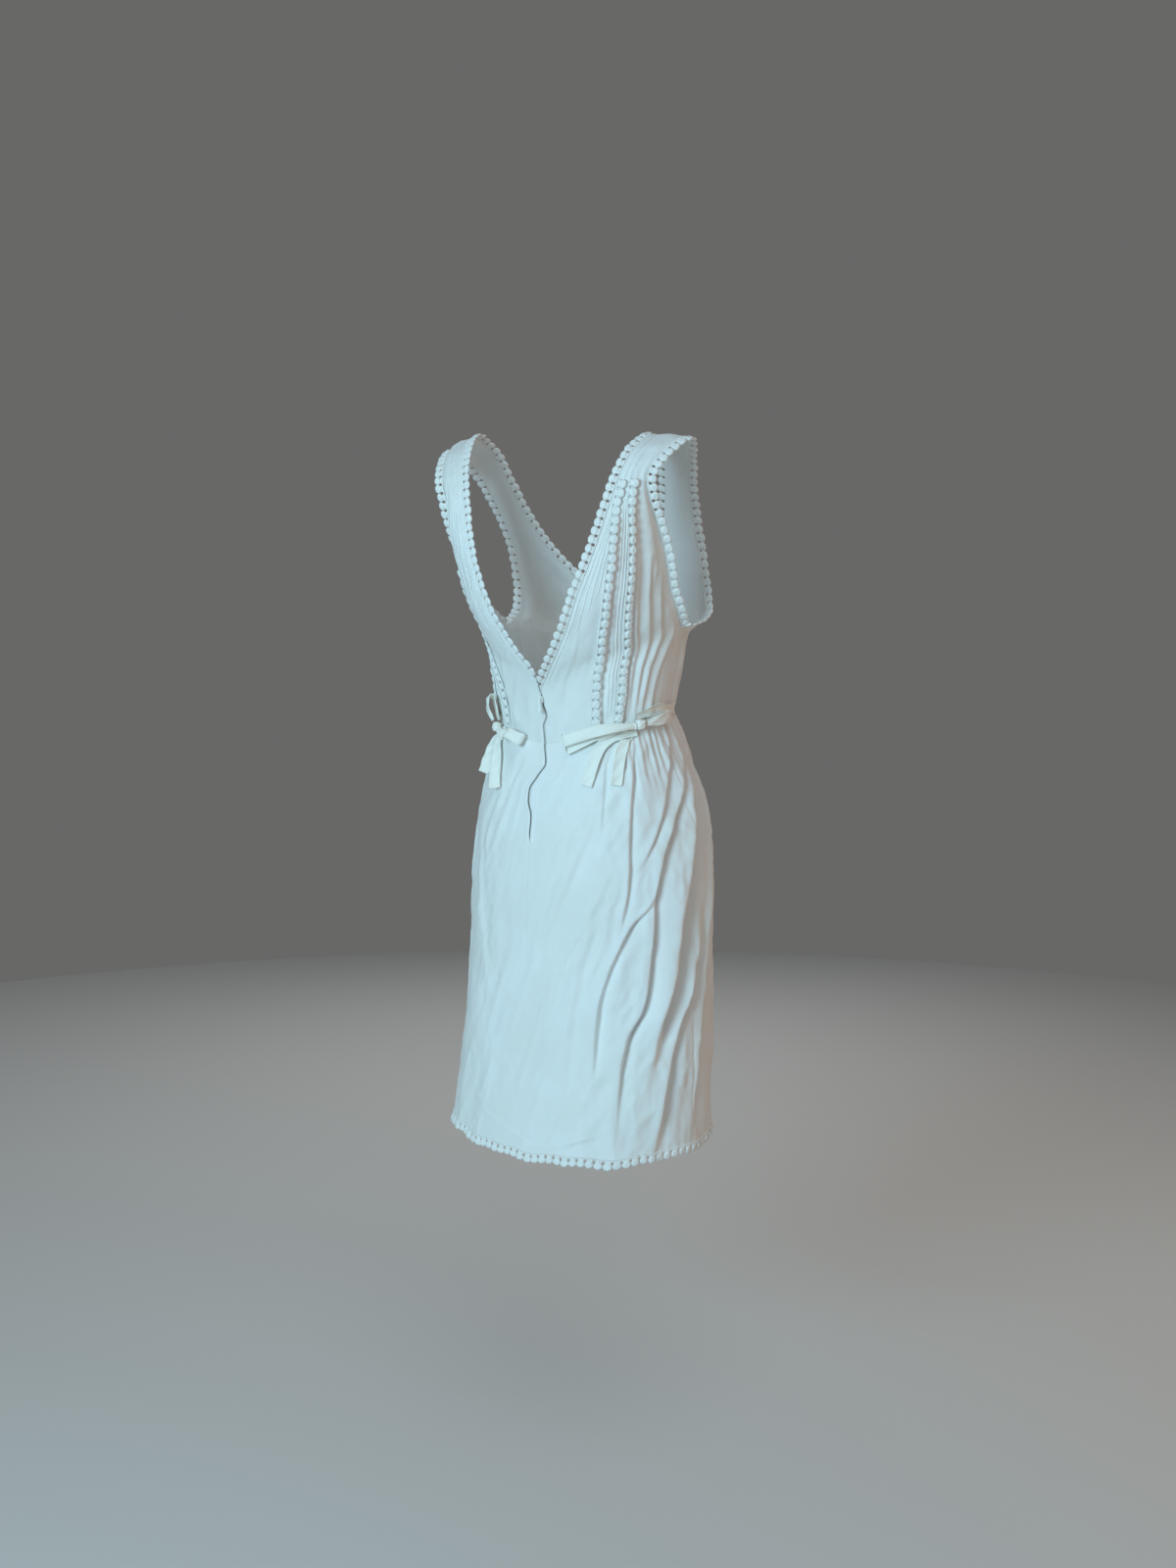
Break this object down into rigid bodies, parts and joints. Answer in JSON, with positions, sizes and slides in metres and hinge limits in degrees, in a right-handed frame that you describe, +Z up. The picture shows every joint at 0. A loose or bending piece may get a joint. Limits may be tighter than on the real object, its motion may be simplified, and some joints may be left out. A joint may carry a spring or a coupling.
{
  "type": "wedding dress",
  "caption": "Sleeveless knee-length wedding dress of white cotton with crochet trim, deep V back, back zip and waist ties tied in bows, in its worn hollow form.",
  "frame": {"origin": "midway between the tops of the two shoulder straps, where the wearer's shoulders hold the dress up", "axes": "+Z up, -Y towards the wearer's front, +X towards the wearer's left"},
  "size_m": [0.3804, 0.2952, 0.9522],
  "materials": {
    "cotton": "plain woven, washed and softly creased",
    "crochet": "crocheted cotton scallops",
    "tie": "plain woven, slightly warmer white",
    "zip_tape": "woven tape",
    "zip_metal": "white lacquer"
  },
  "bodies": {
    "dress": {"bodice_back_right": "cotton", "bodice_back_left": "cotton", "bodice_front": "cotton", "skirt_back_right": "cotton", "skirt_back_left": "cotton", "skirt_front": "cotton", "neck_trim_right": "crochet", "armhole_trim_right": "crochet", "strip_right_1": "crochet", "strip_right_2": "crochet", "neck_trim_left": "crochet", "armhole_trim_left": "crochet", "strip_left_1": "crochet", "strip_left_2": "crochet", "hem_trim": "crochet", "knot_right": "tie", "loop_right_1": "tie", "loop_right_2": "tie", "tail_right_1": "tie", "tail_right_2": "tie", "tie_right": "tie", "knot_left": "tie", "loop_left_1": "tie", "loop_left_2": "tie", "tail_left_1": "tie", "tail_left_2": "tie", "tie_left": "tie", "zip_tape": "zip_tape", "zip_slider": "zip_metal"},
    "zip_pull": {"zip_pull": "zip_metal"}
  },
  "joints": [
    {"name": "zip_pull_hinge", "type": "hinge", "parent": "dress", "child": "zip_pull", "pos_m": [-0.01308, 0.06887, -0.34439], "axis": [0.9997, -0.0239, 0], "range_deg": [0, 140]}
  ]
}
